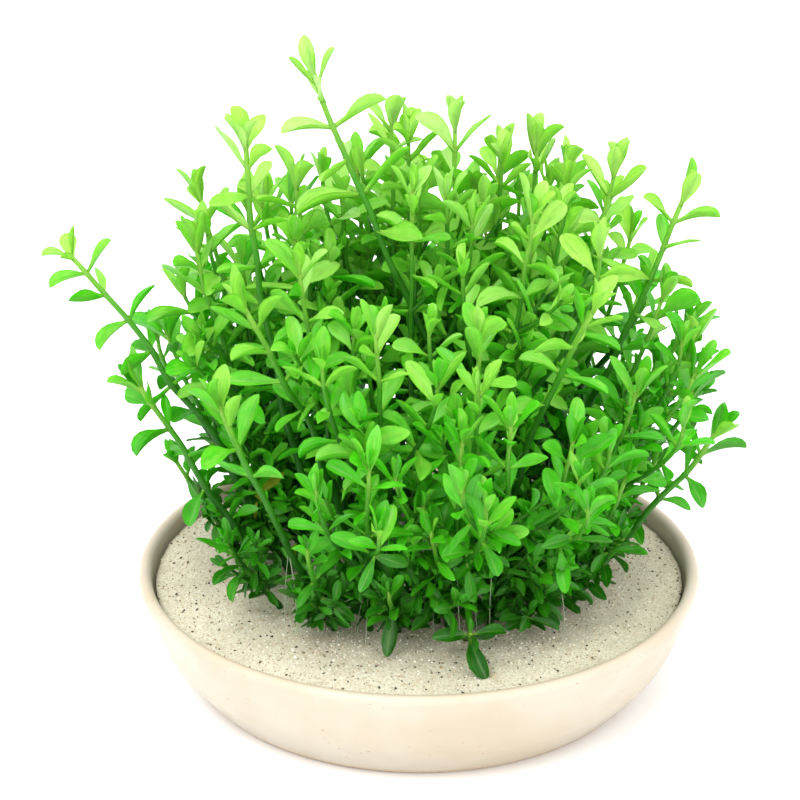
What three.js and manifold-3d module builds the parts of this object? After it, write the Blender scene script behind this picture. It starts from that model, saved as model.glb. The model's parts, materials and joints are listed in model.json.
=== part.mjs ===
// Potted compact water hyssop: a dense dome of leafy shoots rooted in pale sand, in a plain low pan.
// Millimetres, +Z up. The origin is the centre of the pan's flat underside, and the side of the
// clump that is seen first faces -Y.

import * as THREE from 'three';
import { mergeVertices } from 'three/addons/utils/BufferGeometryUtils.js';
import Module from 'manifold-3d';

const wasm = await Module();
wasm.setup();

// Pan
const POT_HEIGHT = 34;
const POT_RIM_RADIUS = 82;
const POT_FOOT_RADIUS = 64;
const POT_WALL = 3.8;
const POT_FLOOR = 5;
const ROUND_STEPS = 32;

// The wall flares out by this share of its whole flare up to the belly, and less steeply above it
const POT_BELLY_SHARE = 0.62;
const POT_BELLY_HEIGHT = 13.6;
const POT_FOOT_CHAMFER = 1;

// The rim is rounded over its top, by way of one point on each shoulder
const RIM_ROUNDING = 2;
const RIM_SHOULDER_INSET = 0.6;
const RIM_SHOULDER_DROP = 0.4;

// Sand
const SAND_LEVEL = 31.5;
const SAND_FLAT_RADIUS = 66;
const SAND_EDGE_DROP = 1.6;

// Touching pieces keep this far apart. Against the sloping wall it is measured level, so it is more.
const CLEARANCE = 0.3;
const SAND_SIDE_CLEARANCE = 0.6;
const SAND_EDGE_CLEARANCE = 0.45;

// Stem
const STEM_FOOT_RADIUS = 0.85;
const STEM_TIP_RADIUS = 0.5;
const STEM_STEP = 48;
const NODE_HALF_HEIGHT = 0.8;
const LEAFY_SHARE = 0.82;

// Leaves, counted in pairs from the growing tip down
const PAIR_DISTANCE = [1.5, 7.5, 16, 28, 43, 62];
const LEAF_LENGTH = [11.5, 14, 15.5, 16, 15.5, 14.5];
const LEAF_SPREAD = [24, 42, 58, 70, 80, 88];
const LEAF_WIDTH_RATIO = 0.36;
const LEAF_WIDEST_AT = 0.6;
const LEAF_TIP_WIDTH_RATIO = 0.45;
const LEAF_THICKNESS = 0.8;
const LEAF_ARCH = 0.07;

// Where a leaf has no room, it swings aside, and then it stays shorter
const LEAF_SWINGS = [0, 25, -25, 45, -45];
const LEAF_SIZES = [1, 0.8, 0.62];

// Points of a turned piece that lie closer than this are the same point
const WELD_DISTANCE = 1e-4;

// Turn of the leaf pairs from one shoot to the next
const GOLDEN_ANGLE = THREE.MathUtils.degToRad(137.5);

// A shoot is [foot x, foot y, tip x, tip y, tip height above the sand, leaf pairs, rise, turn].
// Rise and turn are how far out the stem has come at a third and at two thirds of its height,
// as shares of its whole lean: 0.33 and 0.67 make it straight.
const SHOOTS = {
  left_shoot: [
    [-38, -2, -98, 0, 98, 6, 0.25, 0.54],
    [-43, -10, -79, -8, 61, 5, 0.33, 0.67],
    [-41, 8, -73, 15, 68, 5, 0.33, 0.75],
    [-33, 4, -63, 4, 99, 5, 0.3, 0.85],
    [-31, 17, -63, 29, 104, 5, 0.3, 0.75],
    [-27, -3, -48, -1, 131, 5, 0.5, 0.95],
  ],
  crown_shoot: [
    [13, 3, -29, 9, 147, 6, -0.3, 0.68],
    [-18, 12, -35, 20, 112, 4, 0.3, 0.85],
    [-3, 17, -8, 30, 126, 4, 0.3, 0.85],
    [-9, 26, -18, 46, 107, 4, 0.3, 0.8],
    [8, 11, 10, 20, 129, 4, 0.3, 0.85],
    [12, 27, 24, 49, 111, 4, 0.3, 0.85],
    [18, 18, 34, 35, 117, 4, 0.3, 0.85],
    [23, 26, 43, 41, 109, 4, 0.3, 0.85],
    [24, 7, 55, 15, 117, 4, 0.3, 0.75],
    [0, 0, -2, 0, 117, 4, 0.3, 0.9],
    [-17, -8, -33, -19, 100, 4, 0.3, 0.85],
  ],
  right_shoot: [
    [32, 4, 74, 9, 111, 5, 0.3, 0.68],
    [37, -3, 69, 4, 84, 5, 0.3, 0.75],
    [37, 13, 79, 24, 67, 5, 0.3, 0.72],
    [41, -10, 78, -9, 66, 5, 0.33, 0.72],
    [43, -16, 83, -18, 51, 5, 0.35, 0.75],
    [46, 2, 68, -5, 37, 4, 0.45, 0.8],
    [34, -13, 60, -25, 67, 5, 0.3, 0.8],
  ],
  front_shoot: [
    [13, -9, 31, -14, 115, 5, 0.15, 0.8],
    [24, -23, 47, -39, 98, 6, 0.0, 0.4],
    [-18, -18, -48, -25, 92, 6, 0.1, 0.45],
    [-24, -34, -54, -50, 74, 5, 0.45, 0.72],
    [-14, -37, -14, -60, 60, 5, 0.3, 0.75],
    [8, -36, 11, -60, 68, 5, 0.3, 0.75],
    [20, -35, 24, -58, 72, 5, 0.3, 0.8],
    [8, -23, 16, -40, 90, 5, 0.3, 0.85],
    [30, -31, 41, -52, 64, 5, 0.3, 0.8],
    [37, -24, 57, -36, 46, 5, 0.3, 0.8],
    [-5, -28, -12, -42, 92, 5, 0.3, 0.85],
  ],
  back_shoot: [
    [-22, 30, -44, 57, 92, 4, 0.3, 0.75],
    [-2, 35, -4, 68, 88, 4, 0.3, 0.75],
    [19, 36, 34, 65, 88, 4, 0.3, 0.75],
    [33, 24, 63, 47, 86, 4, 0.3, 0.75],
    [-35, 26, -62, 46, 72, 4, 0.3, 0.72],
    [-13, 40, -27, 80, 60, 4, 0.35, 0.72],
    [10, 43, 16, 84, 58, 4, 0.35, 0.72],
    [30, 35, 54, 68, 60, 4, 0.35, 0.72],
    [-29, 34, -56, 64, 60, 4, 0.35, 0.72],
  ],
  skirt_sprig: [
    [-40, -24, -54, -38, 28, 3, 0.4, 0.75],
    [-24, -37, -31, -56, 34, 3, 0.4, 0.75],
    [-6, -38, -9, -54, 20, 3, 0.5, 0.9],
    [13, -43, 14, -56, 8, 3, 0.5, 0.9],
    [5, -33, 3, -58, 40, 3, 0.4, 0.75],
    [28, -36, 36, -50, 24, 3, 0.4, 0.75],
    [44, -22, 58, -30, 26, 3, 0.4, 0.75],
    [-47, 1, -71, 3, 34, 3, 0.4, 0.75],
    [-43, 27, -64, 44, 32, 3, 0.4, 0.75],
    [44, 22, 70, 38, 34, 3, 0.4, 0.75],
  ],
};

// Colours, roughness and metalness as seen
const POT_FINISH = { color: 0xe9e1d0, roughness: 0.45, metalness: 0 };
const SAND_FINISH = { color: 0xd8ccb4, roughness: 0.95, metalness: 0 };
const LEAF_FINISH = { color: 0x4fa32a, roughness: 0.5, metalness: 0 };

const group = new THREE.Group();
group.name = 'potted_compact_water_hyssop';

function addPiece(name, geometry, finish) {
  const mesh = new THREE.Mesh(geometry, new THREE.MeshStandardMaterial(finish));
  mesh.name = name;
  group.add(mesh);
  return mesh;
}

// A ring-shaped piece from its half section, turned so that its axis stands up
function turnedPiece(profile) {
  const points = profile.map(([radius, height]) => new THREE.Vector2(radius, height));
  const geometry = new THREE.LatheGeometry(points, ROUND_STEPS);
  geometry.rotateX(Math.PI / 2);
  return geometry;
}

// A closed solid for the room tests, from a geometry or a bare draft
function solidOf(positions, triangles) {
  return new wasm.Manifold(new wasm.Mesh({
    numProp: 3,
    vertProperties: new Float32Array(positions),
    triVerts: new Uint32Array(triangles),
  }));
}

function solidOfGeometry(geometry) {
  const bare = geometry.clone();
  bare.deleteAttribute('normal');
  bare.deleteAttribute('uv');
  const merged = mergeVertices(bare, WELD_DISTANCE);
  const index = Array.from(merged.index.array);
  const faces = [];
  for (let i = 0; i < index.length; i += 3) {
    const [a, b, c] = index.slice(i, i + 3);
    if (a !== b && b !== c && c !== a) {
      faces.push(a, b, c);
    }
  }
  return solidOf(merged.attributes.position.array, faces);
}

// Pan: a low flared bowl with a rounded rim and a flat underside
const potInsideFoot = POT_FOOT_RADIUS - POT_WALL;
const potInsideRim = POT_RIM_RADIUS - POT_WALL;
const potBelly = POT_FOOT_RADIUS + POT_BELLY_SHARE * (POT_RIM_RADIUS - POT_FOOT_RADIUS);
const potInsideBelly = potBelly - POT_WALL;
const rimStart = POT_HEIGHT - RIM_ROUNDING;
const rimShoulder = POT_HEIGHT - RIM_SHOULDER_DROP;
const potGeometry = turnedPiece([
  [0, 0],
  [POT_FOOT_RADIUS - POT_FOOT_CHAMFER, 0],
  [POT_FOOT_RADIUS, POT_FOOT_CHAMFER],
  [potBelly, POT_BELLY_HEIGHT],
  [POT_RIM_RADIUS, rimStart],
  [POT_RIM_RADIUS - RIM_SHOULDER_INSET, rimShoulder],
  [POT_RIM_RADIUS - 0.5 * POT_WALL, POT_HEIGHT],
  [potInsideRim + RIM_SHOULDER_INSET, rimShoulder],
  [potInsideRim, rimStart],
  [potInsideBelly, POT_BELLY_HEIGHT],
  [potInsideFoot, POT_FLOOR],
  [0, POT_FLOOR],
]);
addPiece('pot', potGeometry, POT_FINISH);

// Sand: fills the pan, flat where the stems stand and a little lower round the wall
const sandEdge = SAND_LEVEL - SAND_EDGE_DROP;
const wallFlare = (potInsideRim - potInsideBelly) / (rimStart - POT_BELLY_HEIGHT);
const wallRadiusAtSandEdge = potInsideRim - wallFlare * (rimStart - sandEdge);
const sandBottom = POT_FLOOR + CLEARANCE;
const sandGeometry = turnedPiece([
  [0, sandBottom],
  [potInsideFoot - SAND_SIDE_CLEARANCE, sandBottom],
  [potInsideBelly - SAND_SIDE_CLEARANCE, POT_BELLY_HEIGHT],
  [wallRadiusAtSandEdge - SAND_EDGE_CLEARANCE, sandEdge],
  [SAND_FLAT_RADIUS, SAND_LEVEL],
  [0, SAND_LEVEL],
]);
addPiece('sand_bed', sandGeometry, SAND_FINISH);

// The centre line of a stem
function stemCurve([footX, footY, tipX, tipY, height, , rise, turn]) {
  const bottom = SAND_LEVEL + CLEARANCE;
  const leanX = tipX - footX;
  const leanY = tipY - footY;
  return new THREE.CubicBezierCurve3(
    new THREE.Vector3(footX, footY, bottom),
    new THREE.Vector3(footX + rise * leanX, footY + rise * leanY, bottom + height / 3),
    new THREE.Vector3(footX + turn * leanX, footY + turn * leanY, bottom + 2 * height / 3),
    new THREE.Vector3(tipX, tipY, bottom + height),
  );
}

// Place on a stem, with its direction and the two ways in which its leaf pairs stand
function stemPlace(curve, distance, spin) {
  const u = 1 - distance / curve.getLength();
  const along = curve.getTangentAt(u);
  const lean = new THREE.Vector3().subVectors(curve.v3, curve.v0).setZ(0).normalize();
  const across = new THREE.Vector3(-lean.y, lean.x, 0);
  const outward = new THREE.Vector3().crossVectors(across, along).normalize();
  const first = outward.clone().multiplyScalar(Math.cos(spin)).addScaledVector(across, Math.sin(spin));
  const second = new THREE.Vector3().crossVectors(along, first);
  const radius = THREE.MathUtils.lerp(STEM_FOOT_RADIUS, STEM_TIP_RADIUS, u);
  return { point: curve.getPointAt(u), along, first, second, radius };
}

// The four corners of a stem's section, counter-clockwise round its direction
function stemCorners({ point, first, second, radius }) {
  const corner = (a, b) => point.clone()
    .addScaledVector(first, a * radius)
    .addScaledVector(second, b * radius);
  return [corner(1, 1), corner(-1, 1), corner(-1, -1), corner(1, -1)];
}

// A mesh in the making
class Draft {
  constructor() {
    this.positions = [];
    this.triangles = [];
  }

  add(point) {
    this.positions.push(point.x, point.y, point.z);
    return this.positions.length / 3 - 1;
  }

  face(...corners) {
    for (let i = 2; i < corners.length; i += 1) {
      this.triangles.push(corners[0], corners[i - 1], corners[i]);
    }
  }

  geometry() {
    const geometry = new THREE.BufferGeometry();
    geometry.setAttribute('position', new THREE.Float32BufferAttribute(this.positions, 3));
    geometry.setIndex(this.triangles);
    geometry.computeVertexNormals();
    return geometry;
  }
}

// The five outer points of a leaf: left edge, midrib and right edge at its widest, and a blunt tip
function leafPoints(root, along, out, pair, swing, size) {
  const side = new THREE.Vector3().crossVectors(along, out);
  const swingAngle = THREE.MathUtils.degToRad(swing);
  const spread = THREE.MathUtils.degToRad(LEAF_SPREAD[pair]);
  const away = out.clone().multiplyScalar(Math.cos(swingAngle)).addScaledVector(side, Math.sin(swingAngle));
  const blade = side.clone().multiplyScalar(Math.cos(swingAngle)).addScaledVector(out, -Math.sin(swingAngle));
  const forward = along.clone().multiplyScalar(Math.cos(spread)).addScaledVector(away, Math.sin(spread));
  const upper = new THREE.Vector3().crossVectors(forward, blade);
  const length = size * LEAF_LENGTH[pair];
  const halfWidth = 0.5 * LEAF_WIDTH_RATIO * length;
  const place = (reach, sideways, lift) => root.clone()
    .addScaledVector(forward, reach * length)
    .addScaledVector(blade, sideways * halfWidth)
    .addScaledVector(upper, lift);
  const arch = LEAF_ARCH * length;
  return {
    left: place(LEAF_WIDEST_AT, -1, arch),
    midrib: place(LEAF_WIDEST_AT, 0, arch + LEAF_THICKNESS),
    right: place(LEAF_WIDEST_AT, 1, arch),
    tipLeft: place(1, -LEAF_TIP_WIDTH_RATIO, 0),
    tipRight: place(1, LEAF_TIP_WIDTH_RATIO, 0),
  };
}

// Grows the leaf out of four corners of its stem: low left, low right, high right and high left
function growLeaf(draft, [a, b, c, d], leaf) {
  const left = draft.add(leaf.left);
  const midrib = draft.add(leaf.midrib);
  const right = draft.add(leaf.right);
  const tipLeft = draft.add(leaf.tipLeft);
  const tipRight = draft.add(leaf.tipRight);
  draft.face(a, b, right, left);
  draft.face(b, c, midrib, right);
  draft.face(c, d, midrib);
  draft.face(d, a, left, midrib);
  draft.face(left, right, tipRight, tipLeft);
  draft.face(right, midrib, tipRight);
  draft.face(midrib, left, tipLeft);
  draft.face(tipRight, midrib, tipLeft);
}

// Closed test solid of one leaf, to see whether it has room
function leafSolid(corners, leaf) {
  const draft = new Draft();
  const [a, b, c, d] = corners.map((corner) => draft.add(corner));
  draft.face(d, c, b, a);
  growLeaf(draft, [a, b, c, d], leaf);
  return solidOf(draft.positions, draft.triangles);
}

// The places of one stem's sections from its foot to its tip, two at each leaf pair
function stemSections(row, spin) {
  const curve = stemCurve(row);
  const [, , , , , pairs] = row;
  const squeeze = Math.min(1, LEAFY_SHARE * curve.getLength() / PAIR_DISTANCE[pairs - 1]);
  const bareLength = curve.getLength() - squeeze * PAIR_DISTANCE[pairs - 1] - NODE_HALF_HEIGHT;
  const steps = Math.max(1, Math.ceil(bareLength / STEM_STEP));
  const sections = [];
  for (let step = 0; step < steps; step += 1) {
    const distance = curve.getLength() - bareLength * step / steps;
    sections.push({ ...stemPlace(curve, distance, spin), pair: null });
  }
  for (let pair = pairs - 1; pair >= 0; pair -= 1) {
    const distance = squeeze * PAIR_DISTANCE[pair];
    sections.push({ ...stemPlace(curve, distance + NODE_HALF_HEIGHT, spin), pair });
    sections.push({ ...stemPlace(curve, distance - NODE_HALF_HEIGHT, spin), pair: null });
  }
  sections[0].along.set(0, 0, 1);
  sections[0].first.setZ(0).normalize();
  sections[0].second.crossVectors(sections[0].along, sections[0].first);
  return { sections, apex: curve.getPointAt(1) };
}

// Each of a stem's four sides, as the two corners that bound it and the way it faces
const SIDES = [
  { from: 0, to: 1, faces: (section) => section.second.clone(), odd: true },
  { from: 1, to: 2, faces: (section) => section.first.clone().negate(), odd: false },
  { from: 2, to: 3, faces: (section) => section.second.clone().negate(), odd: true },
  { from: 3, to: 0, faces: (section) => section.first.clone(), odd: false },
];

// All shoots in one list, with the turn of their leaf pairs
const shoots = [];
for (const [zone, rows] of Object.entries(SHOOTS)) {
  rows.forEach((row, i) => {
    const spin = shoots.length * GOLDEN_ANGLE;
    const name = `${zone}_${String(i + 1).padStart(2, '0')}`;
    shoots.push({ name, ...stemSections(row, spin) });
  });
}

// The bare stem of a shoot, for its leaves and for the room tests
function bareStem(shoot) {
  const draft = new Draft();
  shoot.rings = shoot.sections.map((section) => stemCorners(section).map((corner) => draft.add(corner)));
  const top = draft.add(shoot.apex);
  const last = shoot.rings[shoot.rings.length - 1];
  const foot = shoot.rings[0];
  draft.face(foot[3], foot[2], foot[1], foot[0]);
  for (const { from, to } of SIDES) {
    draft.face(last[from], last[to], top);
  }
  return draft;
}

function stemSolid(shoot) {
  const draft = bareStem(shoot);
  for (let i = 1; i < shoot.rings.length; i += 1) {
    for (const { from, to } of SIDES) {
      draft.face(shoot.rings[i - 1][from], shoot.rings[i - 1][to], shoot.rings[i][to], shoot.rings[i][from]);
    }
  }
  return solidOf(draft.positions, draft.triangles);
}

// What a new leaf has to keep clear of
const obstacles = [
  { owner: 'pot', solid: solidOfGeometry(potGeometry) },
  { owner: 'sand_bed', solid: solidOfGeometry(sandGeometry) },
];
for (const shoot of shoots) {
  obstacles.push({ owner: shoot.name, stem: true, solid: stemSolid(shoot) });
}
for (const obstacle of obstacles) {
  obstacle.box = obstacle.solid.boundingBox();
}

function boxesMeet(one, other) {
  return [0, 1, 2].every((axis) => one.min[axis] < other.max[axis] + CLEARANCE
    && other.min[axis] < one.max[axis] + CLEARANCE);
}

function hasRoom(solid, owner) {
  const box = solid.boundingBox();
  return obstacles.every((obstacle) => (obstacle.stem && obstacle.owner === owner)
    || !boxesMeet(box, obstacle.box)
    || solid.minGap(obstacle.solid, CLEARANCE) >= CLEARANCE);
}

// The first way in which the leaf has room, or nothing
function leafWithRoom(shoot, corners, section, out, pair) {
  const root = new THREE.Vector3();
  corners.forEach((corner) => root.addScaledVector(corner, 1 / corners.length));
  for (const size of LEAF_SIZES) {
    for (const swing of LEAF_SWINGS) {
      const leaf = leafPoints(root, section.along, out, pair, swing, size);
      const solid = leafSolid(corners, leaf);
      if (hasRoom(solid, shoot.name)) {
        obstacles.push({ owner: shoot.name, solid, box: solid.boundingBox() });
        return leaf;
      }
      solid.delete();
    }
  }
  return null;
}

// A leafy shoot: a four-sided stem with leaves growing out of opposite sides, each pair square to the next
function leafyShoot(shoot) {
  const draft = bareStem(shoot);
  const cornersAt = shoot.sections.map(stemCorners);
  for (let i = 1; i < shoot.rings.length; i += 1) {
    const { pair } = shoot.sections[i - 1];
    for (const { from, to, faces, odd } of SIDES) {
      const [lower, upper] = [shoot.rings[i - 1], shoot.rings[i]];
      const quad = [lower[from], lower[to], upper[to], upper[from]];
      const hasLeaf = pair !== null && odd === (pair % 2 === 1);
      const corners = [cornersAt[i - 1][from], cornersAt[i - 1][to], cornersAt[i][to], cornersAt[i][from]];
      const out = faces(shoot.sections[i - 1]);
      const leaf = hasLeaf ? leafWithRoom(shoot, corners, shoot.sections[i - 1], out, pair) : null;
      if (leaf) {
        growLeaf(draft, quad, leaf);
      } else {
        draft.face(...quad);
      }
    }
  }
  return draft.geometry();
}

for (const shoot of shoots) {
  addPiece(shoot.name, leafyShoot(shoot), LEAF_FINISH);
}

export default group;
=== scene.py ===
"""Potted compact water hyssop: a dome of leafy shoots in pale sand, in a plain low pan.

Sizes are in metres, apart from the rows of shoots and leaf pairs, which are in millimetres round
the centre of the pan, with heights above the sand.
"""

import json
import math
import random
from collections import namedtuple

import bmesh
import bpy
import numpy as np
from bpy.props import (
    FloatProperty,
    FloatVectorProperty,
    IntProperty,
    PointerProperty,
)
from mathutils import Matrix, Vector, noise

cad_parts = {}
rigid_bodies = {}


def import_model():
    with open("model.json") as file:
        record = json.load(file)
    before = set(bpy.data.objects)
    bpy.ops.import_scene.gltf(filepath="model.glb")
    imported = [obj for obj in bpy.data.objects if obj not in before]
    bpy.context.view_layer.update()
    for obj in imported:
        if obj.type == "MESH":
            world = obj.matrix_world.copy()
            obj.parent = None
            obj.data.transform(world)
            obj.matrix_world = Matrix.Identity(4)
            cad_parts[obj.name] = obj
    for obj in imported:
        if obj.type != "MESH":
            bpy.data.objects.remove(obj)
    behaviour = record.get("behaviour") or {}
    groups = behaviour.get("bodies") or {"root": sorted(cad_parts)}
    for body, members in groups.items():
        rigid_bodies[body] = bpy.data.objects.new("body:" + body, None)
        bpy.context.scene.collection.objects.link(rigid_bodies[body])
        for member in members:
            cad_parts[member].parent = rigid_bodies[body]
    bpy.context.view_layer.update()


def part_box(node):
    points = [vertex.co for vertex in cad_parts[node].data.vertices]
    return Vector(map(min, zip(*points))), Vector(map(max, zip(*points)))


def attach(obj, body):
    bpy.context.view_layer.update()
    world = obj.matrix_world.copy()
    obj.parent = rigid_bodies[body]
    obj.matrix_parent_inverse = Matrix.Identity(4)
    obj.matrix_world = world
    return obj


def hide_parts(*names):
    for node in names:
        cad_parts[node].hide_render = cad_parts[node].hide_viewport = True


bl_info = {
    "name": "Potted water hyssop",
    "version": (1, 0, 0),
    "blender": (4, 5, 0),
    "location": "3D View > Sidebar > Hyssop",
    "description": "Grows a potted compact water hyssop round its measured frame",
    "category": "Add Mesh",
}

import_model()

MM = 0.001
UP = Vector((0, 0, 1))
SEED = 7

POT_LOW, POT_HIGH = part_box("pot")
SAND_LOW, SAND_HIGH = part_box("sand_bed")
RIM_RADIUS = POT_HIGH.x
POT_HEIGHT = POT_HIGH.z
SAND_LEVEL = SAND_HIGH.z
SAND_RADIUS = SAND_HIGH.x
STEM_BOTTOM = SAND_LEVEL + 0.3 * MM

# A shoot is foot x and y, tip x and y, tip height, rise and turn, in millimetres. Rise and turn
# are how far out the stem has come at one and two thirds of its height, as shares of its lean.
SHOOTS = {
    "left_shoot": [
        (-38, -2, -98, 0, 98, 0.25, 0.54),
        (-43, -10, -79, -8, 61, 0.33, 0.67),
        (-41, 8, -73, 15, 68, 0.33, 0.75),
        (-33, 4, -63, 4, 99, 0.3, 0.85),
        (-31, 17, -63, 29, 104, 0.3, 0.75),
        (-27, -3, -48, -1, 131, 0.5, 0.95),
    ],
    "crown_shoot": [
        (13, 3, -29, 9, 147, -0.3, 0.68),
        (-18, 12, -35, 20, 112, 0.3, 0.85),
        (-3, 17, -8, 30, 126, 0.3, 0.85),
        (-9, 26, -18, 46, 107, 0.3, 0.8),
        (8, 11, 10, 20, 129, 0.3, 0.85),
        (12, 27, 24, 49, 111, 0.3, 0.85),
        (18, 18, 34, 35, 117, 0.3, 0.85),
        (23, 26, 43, 41, 109, 0.3, 0.85),
        (24, 7, 55, 15, 117, 0.3, 0.75),
        (0, 0, -2, 0, 117, 0.3, 0.9),
        (-17, -8, -33, -19, 100, 0.3, 0.85),
    ],
    "right_shoot": [
        (32, 4, 74, 9, 111, 0.3, 0.68),
        (37, -3, 69, 4, 84, 0.3, 0.75),
        (37, 13, 79, 24, 67, 0.3, 0.72),
        (41, -10, 78, -9, 66, 0.33, 0.72),
        (43, -16, 83, -18, 51, 0.35, 0.75),
        (46, 2, 68, -5, 37, 0.45, 0.8),
        (34, -13, 60, -25, 67, 0.3, 0.8),
    ],
    "front_shoot": [
        (13, -9, 31, -14, 115, 0.15, 0.8),
        (24, -23, 47, -39, 98, 0.0, 0.4),
        (-18, -18, -48, -25, 92, 0.1, 0.45),
        (-24, -34, -54, -50, 74, 0.45, 0.72),
        (-14, -37, -14, -60, 60, 0.3, 0.75),
        (8, -36, 11, -60, 68, 0.3, 0.75),
        (20, -35, 24, -58, 72, 0.3, 0.8),
        (8, -23, 16, -40, 90, 0.3, 0.85),
        (30, -31, 41, -52, 64, 0.3, 0.8),
        (37, -24, 57, -36, 46, 0.3, 0.8),
        (-5, -28, -12, -42, 92, 0.3, 0.85),
    ],
    "back_shoot": [
        (-22, 30, -44, 57, 92, 0.3, 0.75),
        (-2, 35, -4, 68, 88, 0.3, 0.75),
        (19, 36, 34, 65, 88, 0.3, 0.75),
        (33, 24, 63, 47, 86, 0.3, 0.75),
        (-35, 26, -62, 46, 72, 0.3, 0.72),
        (-13, 40, -27, 80, 60, 0.35, 0.72),
        (10, 43, 16, 84, 58, 0.35, 0.72),
        (30, 35, 54, 68, 60, 0.35, 0.72),
        (-29, 34, -56, 64, 60, 0.35, 0.72),
    ],
    "skirt_sprig": [
        (-40, -24, -54, -38, 28, 0.4, 0.75),
        (-24, -37, -31, -56, 34, 0.4, 0.75),
        (-6, -38, -9, -54, 20, 0.5, 0.9),
        (13, -43, 14, -56, 8, 0.5, 0.9),
        (5, -33, 3, -58, 40, 0.4, 0.75),
        (28, -36, 36, -50, 24, 0.4, 0.75),
        (44, -22, 58, -30, 26, 0.4, 0.75),
        (-47, 1, -71, 3, 34, 0.4, 0.75),
        (-43, 27, -64, 44, 32, 0.4, 0.75),
        (44, 22, 70, 38, 34, 0.4, 0.75),
    ],
}
GOLDEN_ANGLE = math.radians(137.5)

# Leaf pairs down a main stem: distance from the growing tip, length and spread from the stem
STEM_PAIRS = [
    (0.3, 10, 13), (1.8, 12.5, 32), (7, 13.5, 54), (15, 14, 70), (25, 14.5, 81), (36, 14.5, 87),
    (48, 14, 91), (61, 13.5, 93), (74, 13, 95), (87, 12.5, 97), (100, 12, 98), (113, 11.5, 98),
]
# The same down a long branch that rises beside its stem
BRANCH_PAIRS = [
    (0.3, 8.5, 12), (1.8, 11.5, 31), (7, 12.5, 55), (15, 13.5, 72), (25, 13.5, 83), (36, 13.5, 88),
    (48, 13, 92),
]
# The same down the one sprig that lies open like a star on the sand in front
STAR_PAIRS = [(0.3, 7, 40), (1.0, 14, 78), (3.2, 15, 92), (8, 12, 98)]
# The same down a low sprig at a stem's foot
BASAL_PAIRS = [(0.4, 6, 18), (2.2, 9, 44), (5.5, 11, 68), (9.5, 11, 82), (14, 11, 90)]
# The same down a side twig
TWIG_PAIRS = [(0.4, 6, 14), (2.4, 9.5, 34), (7, 12, 60), (13.5, 12.5, 76), (21, 12.5, 86)]
# How much broader than the rest the leaves of the first pairs are
TIP_BREADTHS = (1.15, 1.22, 1.1)

# Places along a leaf, with the share of its width there for an oblong leaf and for a spoon-shaped one
LEAF_STATIONS = [
    (0.0, 0.20, 0.17), (0.11, 0.33, 0.20), (0.26, 0.66, 0.42), (0.42, 0.93, 0.75), (0.58, 1.0, 0.96),
    (0.73, 0.88, 1.0), (0.87, 0.58, 0.80), (0.96, 0.28, 0.47), (1.0, 0.0, 0.0),
]

# Bend, twist, cup, ripple and roundness of each leaf form: some recurved, some flat, some curled up
LEAF_FORMS = [
    (0.18, 0.10, 0.22, 0.000, 1.0),
    (0.45, -0.25, 0.30, 0.010, 0.3),
    (0.05, 0.20, 0.16, -0.012, 0.8),
    (-0.20, -0.10, 0.28, 0.000, 0.5),
    (0.32, 0.40, 0.18, 0.014, 0.0),
    (0.60, -0.15, 0.36, 0.000, 0.9),
    (0.22, -0.45, 0.24, -0.014, 0.6),
    (-0.42, 0.25, 0.34, 0.008, 0.2),
    (0.28, 0.00, 0.08, 0.016, 0.1),
]

# A leaf shorter than this, or rooted deeper in the dome than this, has the plain shape
PLAIN_LENGTH = 7 * MM
PLAIN_DEPTH = 0.52

# How tightly a stem wavers, in turns of the noise per metre
WAVER_SCALE = 62

# Half widths and height of the dome that the leaves fill
DOME = Vector((100 * MM, 90 * MM, 150 * MM))

# The clump is narrowest at the sand: how far out it reaches there, and how much more for each
# millimetre up, to the left and to the right
LEFT_REACH = (48 * MM, 0.65)
RIGHT_REACH = (59 * MM, 0.6)
# Over the sand in front, leaves hang no lower than a slope that meets the sand this far out
FRONT_REACH = 34 * MM
FRONT_SLOPE = 0.445

# Where side twigs leave a stem: distance from its tip, and the side
TWIG_PLACES = [
    (36, 1), (36, -1), (48, 1), (48, -1), (61, 1), (61, -1), (74, 1), (74, -1), (87, 1), (87, -1), (100, 1),
    (113, -1), (43, 1), (55, -1), (67, 1), (80, -1),
]
# Shoots whose stems are nearly bare for most of their length
BARE_SHOOTS = (
    "left_shoot_01", "left_shoot_02", "left_shoot_06", "crown_shoot_01", "front_shoot_02", "front_shoot_03",
    "front_shoot_04", "right_shoot_01", "right_shoot_05",
)
# The sprig that lies open like a star, and the one with an old hanging leaf
STAR_SPRIG = "skirt_sprig_04"
HANGING_SPRIG = "skirt_sprig_03"
# Shoots whose leaves are larger or smaller than most
LEAF_SCALES = {"crown_shoot_01": 1.12, "left_shoot_01": 0.9}
# Shoots whose tips stand open, with what their leaves spread beyond those of other tips
OPEN_TIPS = {"left_shoot_01": 34, "crown_shoot_01": 8}
# The plant is seen first from the front and a little above
TOWARDS_VIEWER = Vector((0, -math.cos(math.radians(24)), math.sin(math.radians(24))))
# How many hair roots hang from the low nodes of these shoots, where others have one
ROOT_COUNTS = {
    "front_shoot_04": 16, "front_shoot_05": 4, "front_shoot_06": 4, "skirt_sprig_02": 5, "left_shoot_01": 4,
}

# How far a stem wavers at most
WAVER = 2.2 * MM
# A stem shorter than the first has the leaves of a twig, and one longer than the second has branches
SHORT_STEM = 50 * MM
BRANCHED_STEM = 62 * MM
# Nearer the centre of the pan than this, in millimetres, a stem has no low sprigs at its foot
BARE_MIDDLE = 20
# Ways, in degrees, in which a leaf swings aside to find room, and the room that is enough
LEAF_SWINGS = (0, 20, -20, 38, -38)
ENOUGH_ROOM = 3.4 * MM
# How far a leaf's tip keeps above the sand, and how much every leaf turns up to the light
LEAF_CLEARANCE = 1.2 * MM
LEAF_LIFT = 0.08
# Leaves at the sand have this share of their size, and have all of it from this height up
LOW_LEAF_SCALE = 0.64
FULL_LEAF_HEIGHT = 62 * MM

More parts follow.
